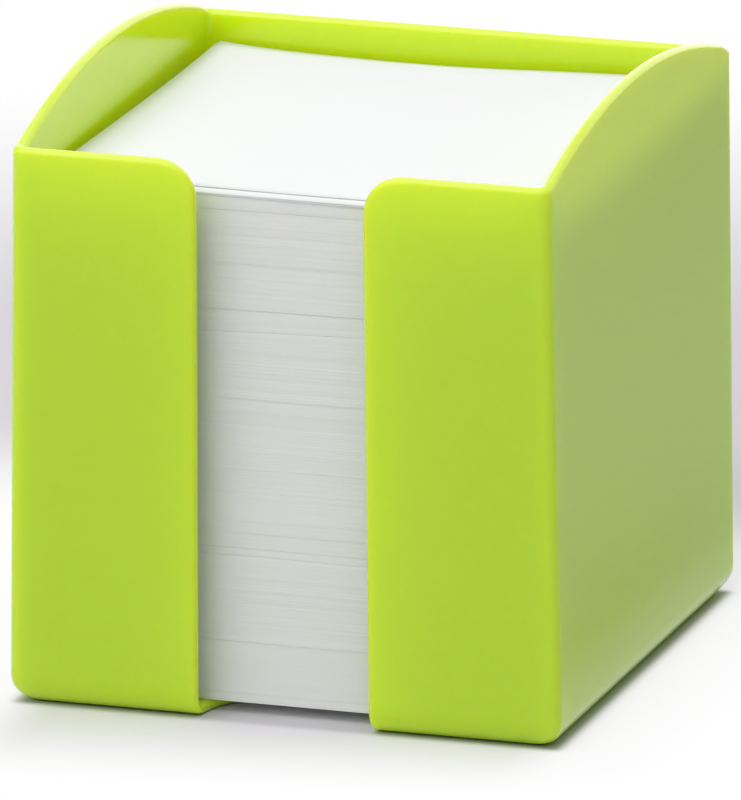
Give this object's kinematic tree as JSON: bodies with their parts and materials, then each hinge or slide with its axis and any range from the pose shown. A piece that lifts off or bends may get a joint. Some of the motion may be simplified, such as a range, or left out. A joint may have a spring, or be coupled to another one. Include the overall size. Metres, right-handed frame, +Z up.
{
  "type": "note box",
  "caption": "Open moulded desk box with a finger slot down its front and arched side walls, holding a stack of loose square notes that lift out.",
  "frame": {"origin": "middle of the footprint, on the surface that the box stands on", "axes": "+Z up, -Y towards the front with the finger slot, +X to the right seen from the front"},
  "size_m": [0.0998, 0.104, 0.1075],
  "materials": {
    "lime_plastic": "glossy opaque lime green moulded polystyrene",
    "note_paper": "matt white uncoated note paper, cut edges showing"
  },
  "bodies": {
    "box": {"note_box": "lime_plastic"},
    "note_pack_01": {"note_pack_01": "note_paper"},
    "note_pack_02": {"note_pack_02": "note_paper"},
    "note_pack_03": {"note_pack_03": "note_paper"},
    "note_pack_04": {"note_pack_04": "note_paper"},
    "note_pack_05": {"note_pack_05": "note_paper"},
    "note_pack_06": {"note_pack_06": "note_paper"},
    "note_pack_07": {"note_pack_07": "note_paper"},
    "note_pack_08": {"note_pack_08": "note_paper"},
    "note_pack_09": {"note_pack_09": "note_paper"},
    "note_pack_10": {"note_pack_10": "note_paper"},
    "note_pack_11": {"note_pack_11": "note_paper"},
    "note_pack_12": {"note_pack_12": "note_paper"},
    "note_pack_13": {"note_pack_13": "note_paper"},
    "loose_note_1": {"loose_note_1": "note_paper"},
    "loose_note_2": {"loose_note_2": "note_paper"},
    "loose_note_3": {"loose_note_3": "note_paper"},
    "loose_note_4": {"loose_note_4": "note_paper"},
    "loose_note_5": {"loose_note_5": "note_paper"},
    "loose_note_6": {"loose_note_6": "note_paper"}
  },
  "joints": [
    {"name": "pack_01_lift", "type": "slide", "parent": "box", "child": "note_pack_01", "axis": [0, 0, 1], "range_m": [0, 0.11]},
    {"name": "pack_02_lift", "type": "slide", "parent": "note_pack_01", "child": "note_pack_02", "axis": [0, 0, 1], "range_m": [0, 0.105]},
    {"name": "pack_03_lift", "type": "slide", "parent": "note_pack_02", "child": "note_pack_03", "axis": [0, 0, 1], "range_m": [0, 0.098]},
    {"name": "pack_04_lift", "type": "slide", "parent": "note_pack_03", "child": "note_pack_04", "axis": [0, 0, 1], "range_m": [0, 0.092]},
    {"name": "pack_05_lift", "type": "slide", "parent": "note_pack_04", "child": "note_pack_05", "axis": [0, 0, 1], "range_m": [0, 0.084]},
    {"name": "pack_06_lift", "type": "slide", "parent": "note_pack_05", "child": "note_pack_06", "axis": [0, 0, 1], "range_m": [0, 0.08]},
    {"name": "pack_07_lift", "type": "slide", "parent": "note_pack_06", "child": "note_pack_07", "axis": [0, 0, 1], "range_m": [0, 0.068]},
    {"name": "pack_08_lift", "type": "slide", "parent": "note_pack_07", "child": "note_pack_08", "axis": [0, 0, 1], "range_m": [0, 0.056]},
    {"name": "pack_09_lift", "type": "slide", "parent": "note_pack_08", "child": "note_pack_09", "axis": [0, 0, 1], "range_m": [0, 0.043]},
    {"name": "pack_10_lift", "type": "slide", "parent": "note_pack_09", "child": "note_pack_10", "axis": [0, 0, 1], "range_m": [0, 0.04]},
    {"name": "pack_11_lift", "type": "slide", "parent": "note_pack_10", "child": "note_pack_11", "axis": [0, 0, 1], "range_m": [0, 0.037]},
    {"name": "pack_12_lift", "type": "slide", "parent": "note_pack_11", "child": "note_pack_12", "axis": [0, 0, 1], "range_m": [0, 0.029]},
    {"name": "pack_13_lift", "type": "slide", "parent": "note_pack_12", "child": "note_pack_13", "axis": [0, 0, 1], "range_m": [0, 0.022]},
    {"name": "note_1_lift", "type": "slide", "parent": "note_pack_13", "child": "loose_note_1", "axis": [0, 0, 1], "range_m": [0, 0.02]},
    {"name": "note_2_lift", "type": "slide", "parent": "loose_note_1", "child": "loose_note_2", "axis": [0, 0, 1], "range_m": [0, 0.02]},
    {"name": "note_3_lift", "type": "slide", "parent": "loose_note_2", "child": "loose_note_3", "axis": [0, 0, 1], "range_m": [0, 0.02]},
    {"name": "note_4_lift", "type": "slide", "parent": "loose_note_3", "child": "loose_note_4", "axis": [0, 0, 1], "range_m": [0, 0.02]},
    {"name": "note_5_lift", "type": "slide", "parent": "loose_note_4", "child": "loose_note_5", "axis": [0, 0, 1], "range_m": [0, 0.02]},
    {"name": "note_6_lift", "type": "slide", "parent": "loose_note_5", "child": "loose_note_6", "axis": [0, 0, 1], "range_m": [0, 0.02]}
  ]
}
